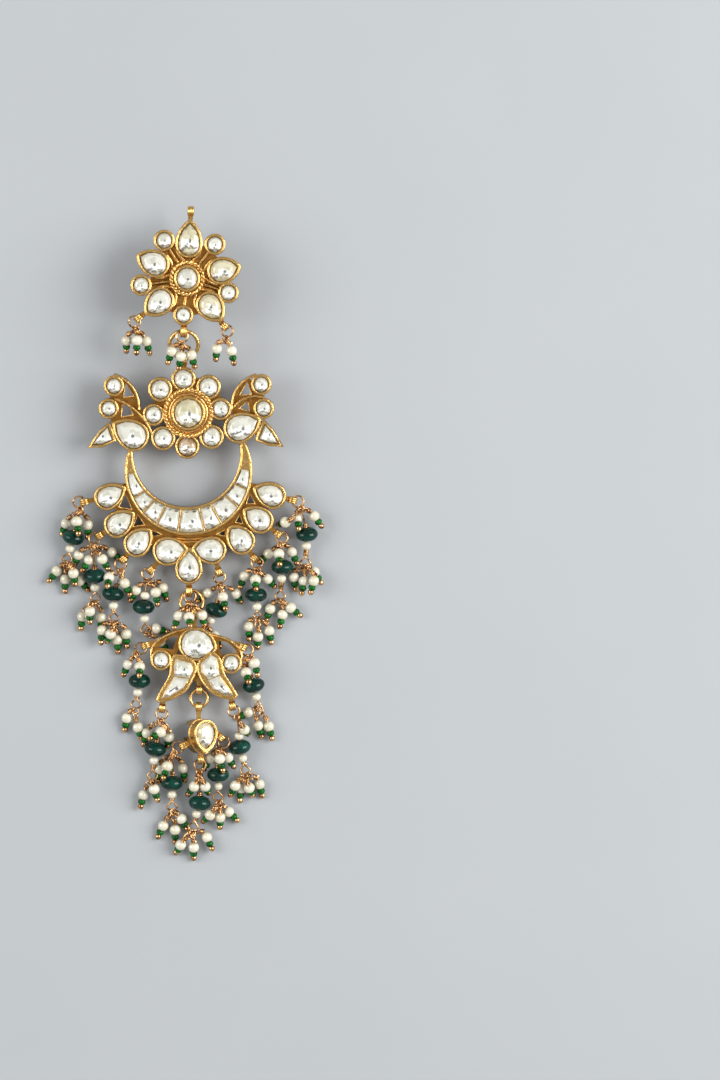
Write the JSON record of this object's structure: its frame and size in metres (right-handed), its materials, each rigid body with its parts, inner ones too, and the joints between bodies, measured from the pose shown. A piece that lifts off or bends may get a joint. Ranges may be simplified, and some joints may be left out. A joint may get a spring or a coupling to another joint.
{
  "type": "chandbali earring",
  "caption": "Long chandbali earring: a petalled stud, a pierced crescent with birds and a fan of stones, a lotus and a drop, hung with beaded strings.",
  "frame": {"origin": "tip of the ear post, on the surface that the earring lies on", "axes": "+Y runs from the drop up to the stud, +X to the right of the face, +Z away from the ear, out of the face"},
  "size_m": [0.0577, 0.1357, 0.0117],
  "materials": {
    "gold_metal": "bright gold plating, shaded brown in the recesses",
    "rose_gold_wire": "polished rose-gold wire",
    "clear_stone": "clear cut glass on silver foil, set in a closed back",
    "pearl_bead": "lustrous cream pearl coating",
    "green_glass": "glossy deep green glass"
  },
  "bodies": {
    "root": {"stud_setting": "gold_metal", "ring_stud_to_moon": "gold_metal", "moon_setting": "gold_metal", "ring_moon_to_lotus": "gold_metal", "lotus_setting": "gold_metal", "ring_lotus_to_drop": "gold_metal", "drop_setting": "gold_metal", "stud_centre_stone": "clear_stone", "stud_round_stones": "clear_stone", "stud_petal_stone_1": "clear_stone", "stud_petal_stone_2": "clear_stone", "stud_petal_stone_3": "clear_stone", "stud_petal_stone_4": "clear_stone", "stud_petal_stone_5": "clear_stone", "flower_centre_stone": "clear_stone", "flower_ring_stones": "clear_stone", "bird_body_stone_left": "clear_stone", "bird_body_stone_right": "clear_stone", "bird_wing_stones": "clear_stone", "bird_round_stones": "clear_stone", "crescent_stones": "clear_stone", "fan_stone_1": "clear_stone", "fan_stone_2": "clear_stone", "fan_stone_3": "clear_stone", "fan_stone_4": "clear_stone", "fan_stone_5": "clear_stone", "fan_stone_6": "clear_stone", "fan_stone_7": "clear_stone", "fan_stone_8": "clear_stone", "fan_stone_9": "clear_stone", "lotus_crown_stone": "clear_stone", "lotus_petal_stones": "clear_stone", "lotus_round_stones": "clear_stone", "drop_stone": "clear_stone", "stud_string_1": "pearl_bead", "stud_string_2": "pearl_bead", "stud_string_3": "pearl_bead", "fan_string_1": "pearl_bead", "fan_string_2": "pearl_bead", "fan_string_3": "pearl_bead", "fan_string_4": "pearl_bead", "fan_string_5": "pearl_bead", "fan_string_6": "pearl_bead", "fan_string_7": "pearl_bead", "fan_string_8": "pearl_bead", "fan_string_9": "pearl_bead", "lotus_string_1": "pearl_bead", "lotus_string_2": "pearl_bead", "lotus_string_3": "pearl_bead", "lotus_string_4": "pearl_bead", "drop_string_1": "pearl_bead", "drop_string_2": "pearl_bead", "drop_string_3": "pearl_bead", "stud_wires": "rose_gold_wire", "fan_wires_left": "rose_gold_wire", "fan_wires_right": "rose_gold_wire", "lotus_wires": "rose_gold_wire", "drop_wires": "rose_gold_wire"}
  },
  "joints": []
}
